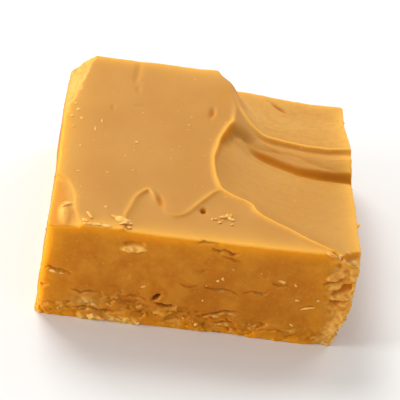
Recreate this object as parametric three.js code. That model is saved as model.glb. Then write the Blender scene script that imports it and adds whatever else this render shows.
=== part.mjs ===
// Fudge cube: one square-cut block of caramel fudge, broader than it is tall.
// Units are millimetres and +Z is up. The front face looks along -Y and the block rests on z = 0,
// with the origin under the middle of its box.
//
// The block is a lattice box. A height function shapes its top: a level plateau, a swirl left by the
// spreading knife, a shelf and a wave behind it, and a shallow ledge in front. Outline functions shape
// its four cut sides, and planes press back the corners that have broken off.

import * as THREE from 'three';
import { mergeVertices } from 'three/addons/utils/BufferGeometryUtils.js';

// Driving dimensions.
const SIDE = 40;
const PLATEAU = 16.1;
const HALF = SIDE / 2;

// Lattice: cells along each side of the square, and up each cut face.
const CELLS_ACROSS = 40;
const CELLS_UP = 12;

// Top relief, as heights above the resting face.
const TOP_FALL = 0.45;
const SHELF_BACK = 12.2;
const CREST_AT_BACK = 13;
const CREST = 14.1;
const CREST_DROP = 0.5;
const CREST_LIP = 0.15;
const WAVE_RISE = 0.3;
const FOOT_CUT = 0.4;
const TROUGH_FRONT = 14.7;
const TROUGH_FALL_BACK = 0.118;
const TROUGH_FALL_RIGHT = 0.09;
const HOOK_FILL = 1.1;
const HOOK_TIP_FILL = 0.35;
const LIP = 0.15;
const LIP_WIDTH = 1;
const LEDGE_DEPTH = 0.25;
const LEDGE_STEP_WIDTH = 0.9;
const CORNER_LEDGE_DEPTH = 0.35;
const CORNER_LEDGE_FALL = 0.13;
const BROKEN_CORNER_DROP = 1.2;

// Cut sides.
const LEFT_STAND = 0.2;
const LEFT_FLARE = 0.7;
const RIGHT_BULGE = 0.45;
const RIGHT_TUCK = 0.6;
const WAVER = 0.12;
const EDGE_WEAR = 0.35;

// Lines of the top, seen from above, each a smooth curve that runs past the block's outline.
const swirlEdge = smoothLine([
  [0.2, 22], [1.0, 19], [2.5, 16.6], [3.3, 12], [3.4, 8], [2.4, 5.6], [1.1, 1], [0.7, -3],
  [1.6, -8.7], [4.1, -10.5], [7.2, -13.4], [12.4, -17.1], [17, -19.6], [22, -22],
]);
const crestLine = smoothLine([
  [1.8, 22], [2.2, 18], [3.1, 14], [3.9, 11.4], [5.0, 9.6], [6.9, 7.7], [8.9, 7.0], [12, 6.45], [16, 6.1],
  [19, 6.5], [22, 7.3],
]);
const footLine = smoothLine([
  [1.2, 10.2], [2.6, 7.6], [3.7, 5.9], [5.0, 4.3], [6.9, 2.9], [9.5, 1.6], [12.1, 0.75], [14.7, 0.35],
  [17.4, 0.5], [20.3, 1.1], [22, 1.5],
]);
const ledgeLine = smoothLine([
  [1.6, -8.7], [-0.2, -10.9], [-2.5, -14.2], [-4.4, -15.4], [-6.2, -13.7], [-8.2, -10.7],
  [-9.9, -13.7], [-10.7, -22],
]);
const cornerLedgeLine = smoothLine([
  [-22, -8.6], [-18.6, -10.5], [-17.2, -13.4], [-16.7, -17], [-15.4, -22],
]);

// Dents and bumps on the top: centre, half-lengths along X and Y, and height.
const MARKS = [
  { name: 'back groove', x: -10.6, y: 17, halfX: 0.7, halfY: 3.4, height: -0.3 },
  { name: 'dimple by the shoulder', x: 0.2, y: 8.5, halfX: 0.8, halfY: 1.5, height: -0.35 },
  { name: 'dimple in the ledge', x: -6.3, y: -12.8, halfX: 0.9, halfY: 1.4, height: -0.3 },
  { name: 'peak on the corner ledge', x: -18.1, y: -17.5, halfX: 1, halfY: 2.2, height: 0.55 },
];

// Broken corners: a point on each fracture and the way it faces. Whatever stands outside is pressed back.
const FRACTURES = [
  { name: 'back left corner', at: [-16.6, 20.2, 16.1], facing: [-0.685, 0.136, 0.716] },
  { name: 'front right foot', at: [18.2, -20, 0], facing: [0.925, -0.257, -0.282] },
];

const { smoothstep, lerp, clamp } = THREE.MathUtils;

// A curve through points seen from above, as a list of points close enough to measure from.
function smoothLine(points) {
  const curve = new THREE.SplineCurve(points.map(([x, y]) => new THREE.Vector2(x, y)));
  return curve.getPoints(points.length * 10);
}

// Distance from a line to a point: positive on the line's left as it is walked, negative on its right.
// along runs from 0 at the line's start to 1 at its end.
function measure(line, x, y) {
  let nearest = { distance: Infinity, along: 0 };
  for (let i = 0; i + 1 < line.length; i += 1) {
    const start = line[i];
    const stepX = line[i + 1].x - start.x;
    const stepY = line[i + 1].y - start.y;
    const share = ((x - start.x) * stepX + (y - start.y) * stepY) / (stepX ** 2 + stepY ** 2);
    const held = clamp(share, 0, 1);
    const offX = x - start.x - held * stepX;
    const offY = y - start.y - held * stepY;
    const distance = Math.hypot(offX, offY);
    if (distance < Math.abs(nearest.distance)) {
      const side = Math.sign(stepX * offY - stepY * offX) || 1;
      nearest = { distance: side * distance, along: (i + held) / (line.length - 1) };
    }
  }
  return nearest;
}

// The smooth upper left of the block, with a thin lip raised along the swirl's edge.
function plateauHeight(x, y, fromSwirl) {
  const level = PLATEAU - TOP_FALL * (HALF - y) / SIDE;
  const lip = LIP * Math.exp(-((fromSwirl / LIP_WIDTH) ** 2));
  const ledge = ledgeDrop(x, y);
  const cornerLedge = cornerLedgeDrop(x, y);
  return level + lip * smoothstep(-y, -7, -4) - ledge - cornerLedge;
}

// The ledge in front of the plateau, bounded by a scalloped line and by the swirl's front ridge.
function ledgeDrop(x, y) {
  const { distance } = measure(ledgeLine, x, y);
  const beyond = smoothstep(distance, 0, LEDGE_STEP_WIDTH);
  const ridge = smoothstep(-measure(swirlEdge, x, y).distance, 0, 2 * LEDGE_STEP_WIDTH);
  return LEDGE_DEPTH * beyond * ridge;
}

// The small ledge at the front left corner, sloping down to the left.
function cornerLedgeDrop(x, y) {
  const outside = Math.max(0, -measure(cornerLedgeLine, x, y).distance);
  return CORNER_LEDGE_DEPTH * smoothstep(outside, 0, 0.8) + CORNER_LEDGE_FALL * outside;
}

// The floor left by the spreading knife, falling to the back and to the right, and filled in the hook.
function troughHeight(x, y) {
  const plane = TROUGH_FRONT - TROUGH_FALL_BACK * (y + 17) - TROUGH_FALL_RIGHT * (x - 18);
  const fill = HOOK_FILL * Math.exp(-((x - 2) ** 2) / 12 - ((y - 1) ** 2) / 30);
  return plane + fill + HOOK_TIP_FILL * Math.exp(-((x - 3.6) ** 2) / 3 - ((y - 5.5) ** 2) / 4);
}

// The low ground right of the swirl's edge: a shelf, a crest, the wave in front of it and the trough.
function lowHeight(x, y) {
  const beforeCrest = -measure(crestLine, x, y).distance;
  const beforeFoot = -measure(footLine, x, y).distance;
  const crest = lerp(CREST_AT_BACK, CREST, smoothstep(-y, -20, -10));
  const drop = CREST_DROP * smoothstep(x, 4, 10);
  const lip = CREST_LIP * Math.exp(-((beforeCrest / 0.9) ** 2));
  if (beforeCrest < 0) return lip + lerp(crest - drop / 2, SHELF_BACK, smoothstep(-beforeCrest, 0, 15));
  const cut = FOOT_CUT * Math.exp(-Math.max(beforeFoot, 0) / 2.4) * smoothstep(x, 3.5, 7);
  const trough = troughHeight(x, y) - cut;
  if (beforeFoot > 0) return trough;
  const share = beforeCrest / Math.max(beforeCrest - beforeFoot, 1e-6);
  const rise = WAVE_RISE * smoothstep(share, 0.14, 0.45) * smoothstep(x, 4, 9);
  const wave = crest - drop * (0.5 + 0.5 * smoothstep(share, 0, 0.15)) + rise;
  return lip + lerp(wave, trough, 0.3 * smoothstep(share, 0.35, 0.85) + 0.7 * smoothstep(share, 0.72, 1));
}

// How far the front right corner of the top has crumbled down.
function brokenCornerDrop(x, y) {
  const outside = 0.57 * (x - 15.9) - 0.82 * (y + HALF);
  return BROKEN_CORNER_DROP * smoothstep(outside, 0, 1.4);
}

// How far the slope below the swirl's edge reaches: wide by the shoulder, tight in the hook below it.
function slopeReach(along) {
  const shoulder = lerp(2.2, 4.4, smoothstep(along, 0.05, 0.28));
  const hook = lerp(shoulder, 1.4, smoothstep(along, 0.3, 0.36));
  const trough = lerp(hook, 1.9, smoothstep(along, 0.4, 0.55));
  return lerp(trough, 1.3, smoothstep(along, 0.6, 0.72));
}

function topHeight(x, y) {
  const { distance, along } = measure(swirlEdge, x, y);
  const corner = brokenCornerDrop(x, y);
  const upper = plateauHeight(x, y, distance) + markHeight(x, y) - corner;
  if (distance <= 0) return upper;
  const share = clamp(distance / slopeReach(along), 0, 1);
  const convex = 1 - smoothstep(share, 0, 1);
  const concave = (1 - share) ** 2;
  return lerp(lowHeight(x, y) - corner, upper, lerp(convex, concave, smoothstep(along, 0.25, 0.35)));
}

function markHeight(x, y) {
  let height = 0;
  for (const mark of MARKS) {
    const reach = ((x - mark.x) / mark.halfX) ** 2 + ((y - mark.y) / mark.halfY) ** 2;
    height += mark.height * Math.exp(-reach);
  }
  return height;
}

// Slow unevenness of a knife-cut side, at a place along it and a height.
function waver(along, z, phase) {
  const broad = Math.sin(0.19 * along + 0.13 * z + phase);
  const fine = Math.sin(0.53 * along - 0.31 * z + 2.7 * phase) * Math.cos(0.47 * z + phase);
  return WAVER * (broad + fine);
}

const leftSide = (y, z) => -HALF - LEFT_STAND - LEFT_FLARE * (1 - z / PLATEAU) + waver(y, z, 1);
const rightSide = (y, z) => {
  const bulge = RIGHT_BULGE * Math.sin(Math.PI * clamp(z / PLATEAU, 0, 1));
  return HALF - RIGHT_TUCK * smoothstep(y, 6, 16) + bulge + waver(y, z, 2);
};
const frontSide = (x, z) => -HALF + waver(x, z, 3) / 2;
const backSide = (x, z) => HALF + waver(x, z, 4);

// Moves a point that stands outside a fracture straight back onto it.
function pressBack(point) {
  for (const fracture of FRACTURES) {
    const facing = new THREE.Vector3(...fracture.facing).normalize();
    const outside = facing.dot(point) - facing.dot(new THREE.Vector3(...fracture.at));
    if (outside > 0) point.addScaledVector(facing, -outside);
  }
}

// The place of one lattice point. i and j count cells along X and Y, and k counts cells up a side.
function place(i, j, k) {
  const across = 2 * i / CELLS_ACROSS - 1;
  const deep = 2 * j / CELLS_ACROSS - 1;
  const z = topHeight(HALF * across, HALF * deep) * k / CELLS_UP;
  const sideX = across < 0 ? -leftSide(HALF * deep, z) : rightSide(HALF * deep, z);
  const sideY = deep < 0 ? -frontSide(HALF * across, z) : backSide(HALF * across, z);
  const wornX = Math.abs(deep) === 1 ? EDGE_WEAR : 0;
  const wornY = Math.abs(across) === 1 ? EDGE_WEAR : 0;
  const point = new THREE.Vector3(across * (sideX - wornX), deep * (sideY - wornY), z);
  pressBack(point);
  if (k === 0) point.z = 0;
  return point;
}

// Two triangles across a four-sided cell, its corners given anticlockwise as seen from outside. They
// meet along the shorter diagonal, which keeps ridges that cross the lattice unbroken.
function addCell(corners, a, b, c, d) {
  if (a.distanceToSquared(c) <= b.distanceToSquared(d)) corners.push(a, b, c, a, c, d);
  else corners.push(a, b, d, b, c, d);
}

// One upright strip of a side, between two neighbouring columns of lattice points.
function addStrip(corners, left, right) {
  for (let k = 0; k < CELLS_UP; k += 1) addCell(corners, left(k), right(k), right(k + 1), left(k + 1));
}

function topAndSides() {
  const corners = [];
  const last = CELLS_ACROSS;
  for (let i = 0; i < last; i += 1) {
    for (let j = 0; j < last; j += 1) {
      const [near, far] = [j, j + 1].map((row) => [place(i, row, CELLS_UP), place(i + 1, row, CELLS_UP)]);
      addCell(corners, near[0], near[1], far[1], far[0]);
    }
    addStrip(corners, (k) => place(i, 0, k), (k) => place(i + 1, 0, k));
    addStrip(corners, (k) => place(i + 1, last, k), (k) => place(i, last, k));
    addStrip(corners, (k) => place(0, i + 1, k), (k) => place(0, i, k));
    addStrip(corners, (k) => place(last, i, k), (k) => place(last, i + 1, k));
  }
  return corners;
}

// The flat resting face, filled in from the outline at the foot of the sides.
function restingFace() {
  const outline = [];
  const last = CELLS_ACROSS;
  for (let i = 0; i < last; i += 1) outline.push(place(i, 0, 0));
  for (let j = 0; j < last; j += 1) outline.push(place(last, j, 0));
  for (let i = last; i > 0; i -= 1) outline.push(place(i, last, 0));
  for (let j = last; j > 0; j -= 1) outline.push(place(0, j, 0));
  const flat = outline.map((point) => new THREE.Vector2(point.x, point.y));
  const triangles = THREE.ShapeUtils.triangulateShape(flat, []);
  return triangles.flatMap(([a, b, c]) => [outline[a], outline[c], outline[b]]);
}

function fudgeGeometry() {
  const corners = [...topAndSides(), ...restingFace()];
  const open = new THREE.BufferGeometry().setFromPoints(corners);
  const closed = mergeVertices(open, 1e-5);
  closed.computeBoundingBox();
  const middle = closed.boundingBox.getCenter(new THREE.Vector3());
  closed.translate(-middle.x, -middle.y, 0);
  closed.computeVertexNormals();
  return closed;
}

const caramel = new THREE.MeshStandardMaterial({ color: 0xd69d5c, roughness: 0.45, metalness: 0 });
const fudge = new THREE.Mesh(fudgeGeometry(), caramel);
fudge.name = 'fudge';

const fudgeCube = new THREE.Group();
fudgeCube.add(fudge);

export default fudgeCube;
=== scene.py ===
"""Caramel fudge: one square-cut block with a knife-swirled top, on a plain pale floor.

The block is modelled in millimetres, with its front cut face towards -Y and the floor at z = 0, then
fitted to the frame's box in metres. It is a fine lattice whose top follows a height field and whose
cut sides are torn, cracked and crumbled by distance fields and seeded noise.
"""

import math

import bmesh
import bpy
import numpy as np
from mathutils import Matrix, Vector
from mathutils.bvhtree import BVHTree


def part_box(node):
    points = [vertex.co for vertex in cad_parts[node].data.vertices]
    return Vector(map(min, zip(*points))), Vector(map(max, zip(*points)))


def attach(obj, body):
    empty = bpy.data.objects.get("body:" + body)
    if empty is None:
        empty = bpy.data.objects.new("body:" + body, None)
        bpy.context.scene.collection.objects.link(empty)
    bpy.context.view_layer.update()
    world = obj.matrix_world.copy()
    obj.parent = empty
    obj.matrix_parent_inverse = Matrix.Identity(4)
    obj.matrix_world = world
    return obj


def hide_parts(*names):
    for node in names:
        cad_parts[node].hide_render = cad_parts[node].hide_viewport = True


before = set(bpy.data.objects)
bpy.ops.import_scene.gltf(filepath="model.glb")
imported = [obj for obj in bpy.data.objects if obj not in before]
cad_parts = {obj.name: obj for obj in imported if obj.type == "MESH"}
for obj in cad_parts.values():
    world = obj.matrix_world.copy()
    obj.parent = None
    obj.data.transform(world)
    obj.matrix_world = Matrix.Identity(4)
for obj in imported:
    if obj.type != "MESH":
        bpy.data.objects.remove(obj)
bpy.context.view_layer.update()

NODE = "fudge"
MM = 0.001

# Driving dimensions of the block, in millimetres.
SIDE = 40.0
HALF = SIDE / 2
PLATEAU = 16.1

# Lattice cells across the block and up its sides, and the faces kept once it is thinned.
CELLS_ACROSS = 230
CELLS_UP = 100
FACES_KEPT = 192_000


# ---------------------------------------------------------------------------------------------------
# Small numeric tools
# ---------------------------------------------------------------------------------------------------

def ramp(value, low, high):
    """Smooth step from 0 at low to 1 at high."""
    share = np.clip((value - low) / (high - low), 0.0, 1.0)
    return share * share * (3 - 2 * share)


def blend(a, b, share):
    return a + (b - a) * share


def spot(a, b, centre_a, centre_b, half_a, half_b):
    """A soft round patch, 1 at its centre."""
    return np.exp(-((a - centre_a) / half_a) ** 2 - ((b - centre_b) / half_b) ** 2)


def perlin(x, y, z, seed):
    """Gradient noise from about -1 to 1 at arrays of places, one unit to a cell."""
    table = np.random.default_rng(seed).permutation(256)
    angles = np.random.default_rng(seed + 1).normal(size=(256, 3))
    slopes = angles / np.linalg.norm(angles, axis=1, keepdims=True)
    x, y, z = (np.asarray(part, float) for part in np.broadcast_arrays(x, y, z))
    cell = [np.floor(part).astype(int) for part in (x, y, z)]
    inside = [part - low for part, low in zip((x, y, z), cell)]
    fade = [part ** 3 * (part * (part * 6 - 15) + 10) for part in inside]
    total = np.zeros(x.shape)
    for corner in np.ndindex(2, 2, 2):
        index = 0
        for low, step in zip(cell, corner):
            index = table[(index + low + step) & 255]
        slope = slopes[index]
        weight = np.ones(x.shape)
        reach = np.zeros(x.shape)
        for axis in range(3):
            reach += slope[..., axis] * (inside[axis] - corner[axis])
            weight *= fade[axis] if corner[axis] else 1 - fade[axis]
        total += weight * reach
    return total * 1.6


def layered(x, y, z, seed, layers=3):
    """Several octaves of noise, each half the size and half the strength of the last."""
    total = 0
    for layer in range(layers):
        scale = 2 ** layer
        total = total + perlin(x * scale, y * scale, z * scale, seed + 10 * layer) / scale
    return total


def cells(a, b, seed):
    """Jittered cells one unit wide: the gap to the nearest border, and a random number per cell."""
    draw = np.random.default_rng(seed)
    jitter = draw.random((64, 64, 2))
    value = draw.random((64, 64))
    low_a, low_b = np.floor(a).astype(int), np.floor(b).astype(int)
    nearest = np.full(a.shape, 9.0)
    second = np.full(a.shape, 9.0)
    number = np.zeros(a.shape)
    for step_a in (-1, 0, 1):
        for step_b in (-1, 0, 1):
            cell_a, cell_b = low_a + step_a, low_b + step_b
            shift = jitter[cell_a & 63, cell_b & 63]
            reach = np.hypot(a - cell_a - shift[..., 0], b - cell_b - shift[..., 1])
            closer = reach < nearest
            second = np.where(closer, nearest, np.minimum(second, reach))
            number = np.where(closer, value[cell_a & 63, cell_b & 63], number)
            nearest = np.where(closer, reach, nearest)
    return second - nearest, number


def smooth_line(points, per_span=12):
    """A Catmull-Rom curve through points, as points close enough to measure from."""
    points = np.array(points, float)
    ends = np.vstack([2 * points[0] - points[1], points, 2 * points[-1] - points[-2]])
    t = np.linspace(0, 1, per_span, endpoint=False)[:, None]
    spans = []
    for a, b, c, d in zip(ends, ends[1:], ends[2:], ends[3:]):
        spans.append(0.5 * (2 * b + (c - a) * t + (2 * a - 5 * b + 4 * c - d) * t ** 2
                            + (3 * b - a - 3 * c + d) * t ** 3))
    return np.vstack([*spans, points[-1:]])


def measure(line, x, y):
    """Distance to a line, positive on its left as it is walked, and the share of the way along it."""
    best = np.full(x.shape, np.inf)
    side = np.ones(x.shape)
    along = np.zeros(x.shape)
    for i, (start, end) in enumerate(zip(line, line[1:])):
        step = end - start
        share = np.clip(((x - start[0]) * step[0] + (y - start[1]) * step[1]) / (step @ step), 0, 1)
        off_x = x - start[0] - share * step[0]
        off_y = y - start[1] - share * step[1]
        distance = np.hypot(off_x, off_y)
        nearer = distance < best
        best = np.where(nearer, distance, best)
        side = np.where(nearer, np.where(step[0] * off_y - step[1] * off_x < 0, -1, 1), side)
        along = np.where(nearer, (i + share) / (len(line) - 1), along)
    return best * side, along


# ---------------------------------------------------------------------------------------------------
# Top: plateau, swirl, shelf, crest, wave, trough and ledges
# ---------------------------------------------------------------------------------------------------

TOP_FALL = 0.45
SHELF_BACK = 12.2
CREST_AT_BACK = 13.0
CREST = 14.1
CREST_DROP = 0.55
WAVE_RISE = 0.35
FOOT_CUT = 0.40
TROUGH_FRONT = 14.7
TROUGH_FALL_BACK = 0.118
TROUGH_FALL_RIGHT = 0.09
HOOK_FILL = 1.1
HOOK_TIP_FILL = 0.85
LIP = 0.22
LIP_WIDTH = 0.42
CREST_LIP = 0.26
CREASE = 0.10
LEDGE_DEPTH = 0.22
LEDGE_STEP_WIDTH = 0.4
RIDGE_WIDTH = 1.0
CORNER_LEDGE_DEPTH = 0.30
CORNER_LEDGE_FALL = 0.13
TERRACE_DEPTH = 0.7

# Soft patches on the top: centre (x, y) and half-lengths. The ledge's soft stretch shapes the relief; the
# hook, rim and shoulder patches are painted shade.
SOFT_STRETCH_OF_LEDGE = (-5.0, -14.0, 2.7, 2.5)
HOOK_SHADOW = (2.8, 6.7, 0.5, 0.9)
RIM_SHADOW = (1.5, 1.4, 0.4, 1.0)
SHOULDER_PAINTED_SHADE = (1.8, 13.5, 1.3, 3.5)

SWIRL_EDGE = smooth_line([
    (0.2, 22), (1.0, 19), (2.5, 16.6), (3.3, 12), (3.4, 8), (2.4, 5.8), (1.1, 1.4), (0.7, -3),
    (1.2, -7), (1.8, -8.9), (4.1, -10.5), (5.9, -11.7), (6.5, -12.7), (7.8, -13.9), (12.4, -17.1),
    (17, -19.6), (22, -22),
])
CREST_LINE = smooth_line([
    (1.8, 22), (2.2, 18), (3.1, 14.0), (3.9, 11.4), (5.0, 9.6), (6.9, 7.7), (8.9, 7.0), (12, 6.45),
    (16, 6.1), (19, 6.5), (22, 7.3),
])
FOOT_LINE = smooth_line([
    (1.2, 10.2), (2.6, 7.6), (3.7, 5.9), (5.0, 4.3), (6.9, 2.9), (9.5, 1.6), (12.1, 0.75), (14.7, 0.35),
    (17.4, 0.5), (20.3, 1.1), (22, 1.5),
])
CREASE_LINE = smooth_line([
    (4.2, 6.4), (5.2, 5.0), (6.5, 4.5), (8.1, 4.2), (10.7, 4.0), (12.6, 3.6), (14.5, 2.7), (17, 2.0),
    (22, 1.8),
])
LEDGE_LINE = smooth_line([
    (1.8, -8.9), (0.9, -9.4), (-0.2, -10.9), (-2.0, -13.9), (-3.6, -15.3), (-5.2, -15.1), (-6.4, -13.2),
    (-7.6, -11.2), (-8.3, -10.8), (-9.6, -13.2), (-10.4, -17), (-10.8, -22),
])
CORNER_LEDGE_LINE = smooth_line([
    (-22, -8.6), (-19.6, -9.7), (-18.2, -10.9), (-17.3, -13.4), (-16.8, -16.5), (-16.1, -19), (-15.2, -22),
])

# Dents and bumps: centre, half-lengths along X and Y, turn in degrees, and height.
TOP_MARKS = [
    (-10.6, 16.6, 0.45, 2.6, -4, -0.17),     # groove running in from the back edge
    (-10.3, 12.4, 0.35, 0.9, 0, -0.07),      # its faint end
    (0.1, 8.6, 0.33, 1.1, -8, -0.40),        # dimple beside the shoulder
    (-13.4, 7.2, 0.30, 0.7, 0, -0.10),
    (-9.6, 8.4, 0.9, 0.25, 10, -0.08),
    (-6.3, -12.8, 0.40, 1.2, 17, -0.40),     # dimple in the ledge's edge
    (-0.6, -13.7, 0.33, 0.42, 0, -0.85),     # pinhole under the ridge
    (10.3, 17.1, 1.6, 0.30, -42, -0.42),     # tick in the shelf
    (-17.3, 18.7, 0.12, 1.0, 0, -0.08),
]


def top_marks(x, y):
    height = np.zeros(x.shape)
    for centre_x, centre_y, half_x, half_y, turn, rise in TOP_MARKS:
        c, s = math.cos(math.radians(turn)), math.sin(math.radians(turn))
        off_x, off_y = x - centre_x, y - centre_y
        reach = ((c * off_x + s * off_y) / half_x) ** 2 + ((c * off_y - s * off_x) / half_y) ** 2
        height += rise * np.exp(-reach ** 1.2)
    return height


def plateau_height(x, y, from_swirl):
    """The smooth upper left, with a thin lip along the swirl and the two ledges cut into it."""
    level = PLATEAU - TOP_FALL * (HALF - y) / SIDE
    lip = LIP * np.exp(-(from_swirl / LIP_WIDTH) ** 2) * (1 - ramp(y, 9, 13))
    to_ledge, _ = measure(LEDGE_LINE, x, y)
    beside_ridge = 1 - np.exp(-np.maximum(-from_swirl, 0) / RIDGE_WIDTH)
    crisp = 1 - 0.97 * spot(x, y, *SOFT_STRETCH_OF_LEDGE)
    ledge = LEDGE_DEPTH * (crisp * ramp(to_ledge, 0, LEDGE_STEP_WIDTH) + (1 - crisp) * ramp(to_ledge, -2, 3))
    ledge_lip = 0.10 * crisp * np.exp(-(to_ledge / 0.32) ** 2)
    to_corner, _ = measure(CORNER_LEDGE_LINE, x, y)
    outside = np.maximum(0, -to_corner)
    corner = CORNER_LEDGE_DEPTH * ramp(outside, 0, 0.35) + CORNER_LEDGE_FALL * outside
    # Painted glow along the ledge's step and the corner ledge's line, and on the lower corner ledge.
    glow = 0.6 * crisp * np.exp(-np.abs(to_ledge) / 0.3) + 0.5 * np.exp(-np.abs(to_corner) / 0.4)
    glow = np.maximum(glow, 0.5 * ramp(outside, 0, 1))
    return level + lip - (ledge - ledge_lip) * beside_ridge - corner, glow


def trough_height(x, y):
    """The floor left by the spreading knife, falling away to the back and to the right."""
    plane = TROUGH_FRONT - TROUGH_FALL_BACK * (y + 17) - TROUGH_FALL_RIGHT * (x - 18)
    fill = HOOK_FILL * np.exp(-((x - 2) ** 2 / 12 + (y - 1) ** 2 / 30))
    return plane + fill + HOOK_TIP_FILL * np.exp(-((x - 4.4) ** 2 / 2.6 + (y - 5.4) ** 2 / 3.5))


def low_height(x, y):
    """The low ground right of the swirl's edge: shelf, crest, wave and trough, with a painted highlight on
    the crest's lip and painted shade under the crest, at the wave's foot and in the crease.
    """
    before_crest = -measure(CREST_LINE, x, y)[0]
    before_foot = -measure(FOOT_LINE, x, y)[0]
    crest = blend(CREST_AT_BACK, CREST, ramp(-y, -20, -10))
    drop = CREST_DROP * ramp(x, 4, 10)
    shelf = blend(crest - 0.5 * drop, SHELF_BACK, ramp(-before_crest, 0, 15))
    share = np.clip(before_crest / np.maximum(before_crest - before_foot, 1e-6), 0, 1)
    rise = WAVE_RISE * ramp(share, 0.14, 0.45) * ramp(x, 4, 9)
    top = crest - drop * (0.5 + 0.5 * ramp(share, 0, 0.12)) + rise
    trough = trough_height(x, y)
    cut = FOOT_CUT * np.exp(-np.maximum(before_foot, 0) / 2.4) * ramp(x, 3.5, 7)
    fall = 0.3 * ramp(share, 0.35, 0.85) + 0.7 * ramp(share, 0.76, 1.0)
    wave = blend(top, trough - cut, fall)
    height = np.where(before_crest < 0, shelf, np.where(before_foot < 0, wave, trough - cut))
    lip = np.exp(-(before_crest / 0.40) ** 2)
    under_crest = 0.55 * np.exp(-((before_crest - 0.75) / 0.35) ** 2) * ramp(x, 4, 8)
    fade = np.where(before_foot > -0.2, 0.3, 1.1)
    crease = np.exp(-(measure(CREASE_LINE, x, y)[0] / 0.45) ** 2) * ramp(x, 4, 5.5)
    at_foot = 1.0 * np.exp(-((before_foot + 0.2) / fade) ** 2) * ramp(x, 3.6, 8.5)
    swept = np.where(before_crest < 0, before_crest, before_foot)
    streaks = 0.045 * perlin(x / 7, swept / 0.9, 3.0, 21) + 0.02 * perlin(x / 3, swept / 0.35, 6.0, 26)
    streaks = streaks * (1 - np.exp(-(before_crest / 0.8) ** 2))
    height = height + CREST_LIP * lip + streaks - CREASE * crease
    # Returns the height, the crest lip's painted highlight, and the painted shade under the crest, at the
    # foot and in the crease.
    return height, 0.9 * lip, np.maximum.reduce([under_crest, at_foot, 0.45 * crease])


def slope_reach(along):
    """How far the slope under the swirl's edge reaches: wide by the shoulder, tight in the hook."""
    reach = blend(2.0, 4.4, ramp(along, 0.05, 0.28))
    reach = blend(reach, 1.1, ramp(along, 0.25, 0.34))
    reach = blend(reach, 1.8, ramp(along, 0.40, 0.55))
    return blend(reach, 0.7, ramp(along, 0.60, 0.72))


def top_relief(x, y):
    """The top's height, then its painted glow on ridges and lips, painted shade in its hollows, and its
    paleness, partly painted light.
    """
    wander_x = 0.22 * perlin(x / 2.6, y / 2.6, 0.5, 11)
    wander_y = 0.22 * perlin(x / 2.6, y / 2.6, 7.5, 12)
    warp_x, warp_y = x + wander_x, y + wander_y
    from_swirl, along = measure(SWIRL_EDGE, warp_x, warp_y)
    upper, upper_glow = plateau_height(warp_x, warp_y, from_swirl)
    share = np.clip(from_swirl / slope_reach(along), 0, 1)
    convex = 1 - ramp(share, 0, 1)
    concave = (1 - share) ** 2
    lower, lower_glow, top_painted_shade = low_height(warp_x, warp_y)
    slope = blend(lower, upper, blend(convex, concave, ramp(along, 0.24, 0.31)))
    height = np.where(from_swirl <= 0, upper, slope)
    # Painted highlight: a bright line along the swirl's edge.
    rim = 1.1 * np.exp(-np.abs(from_swirl + 0.05) / 0.28) * ramp(along, 0.22, 0.28)
    glow = np.maximum(rim, np.where(from_swirl <= 0, upper_glow, lower_glow * ramp(from_swirl, 0, 1)))
    # Painted shadow under the hook and beside the swirl's rim.
    hook = np.maximum(1.2 * spot(x, y, *HOOK_SHADOW), spot(x, y, *RIM_SHADOW))
    top_painted_shade = np.maximum(top_painted_shade, hook) * ramp(from_swirl, 0, 0.8)
    marks = top_marks(x, y)
    # Dents take painted shade in step with their depth.
    top_painted_shade = np.maximum(top_painted_shade, np.clip(-marks / 0.45, 0, 1))
    # Painted shade beyond the corner ledge's line, along the top's left edge and on the shoulder.
    beyond_ledge = ramp(-measure(CORNER_LEDGE_LINE, x, y)[0], 0, 1.2)
    top_painted_shade = np.maximum(top_painted_shade, np.maximum(0.6 * beyond_ledge, 0.45 * np.exp(-(x + HALF) / 1.5)))
    top_painted_shade = np.maximum(top_painted_shade, 0.45 * spot(x, y, *SHOULDER_PAINTED_SHADE))
    # Painted glow along the top's left edge.
    glow = np.maximum(glow, 0.8 * np.exp(-(x + HALF) / 1.7))
    peak = np.clip(1 - np.hypot((x + 18.2 + 0.1 * (y + 18)) / 0.9, (y + 17.5) / 2.6), 0, 1)
    # Painted light: the corner peak loses its painted shade and is made paler below.
    top_painted_shade = top_painted_shade * (1 - ramp(peak, 0, 0.7))
    undulation = 0.06 * perlin(x / 6, y / 6, 1.0, 22) + 0.018 * perlin(x / 1.7, y / 1.7, 2.0, 23)
    off_corner = 0.57 * (x - 15.9) - 0.82 * (y + HALF) + 0.25 * perlin(x / 1.1, y / 1.1, 0.6, 24)
    terrace = ramp(off_corner, 0, 0.35)
    rubble = (0.5 * ramp(off_corner, 0.3, 1.8) + 0.9 * crumble(x, y, 25)) * ramp(off_corner, 0, 0.7)
    # Painted glow along the top edge of the broken corner's terrace.
    glow = np.maximum(glow, np.exp(-((off_corner - 0.1) / 0.35) ** 2))
    height = height + 0.5 * peak ** 1.3 + undulation + marks - TERRACE_DEPTH * terrace - rubble
    # Painted light: the low ground is made paler, and more so the shelf behind the crest.
    low = ramp(from_swirl, 0.5, 3) * (0.14 + 0.16 * ramp(measure(CREST_LINE, x, y)[0], 0, 1.5))
    pale = np.maximum.reduce([0.8 * ramp(off_corner, 0.4, 1.0), 0.75 * ramp(peak, 0.0, 0.9), low])
    return height, glow, top_painted_shade, pale


# ---------------------------------------------------------------------------------------------------
# Cut sides
# ---------------------------------------------------------------------------------------------------

LEFT_STAND = 0.2
LEFT_FLARE = 0.7
RIGHT_BULGE = 0.4
RIGHT_TUCK = 0.6
WAVER = 0.10
TOP_ROUND = 0.4
FOOT_ROUND = 0.25
# Reach in millimetres of the painted glow along all edges, the front left upright and the front right
# upright.
EDGE_GLOW = 1.15
LEFT_EDGE_GLOW = 1.6
RIGHT_EDGE_GLOW = 2.5

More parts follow.
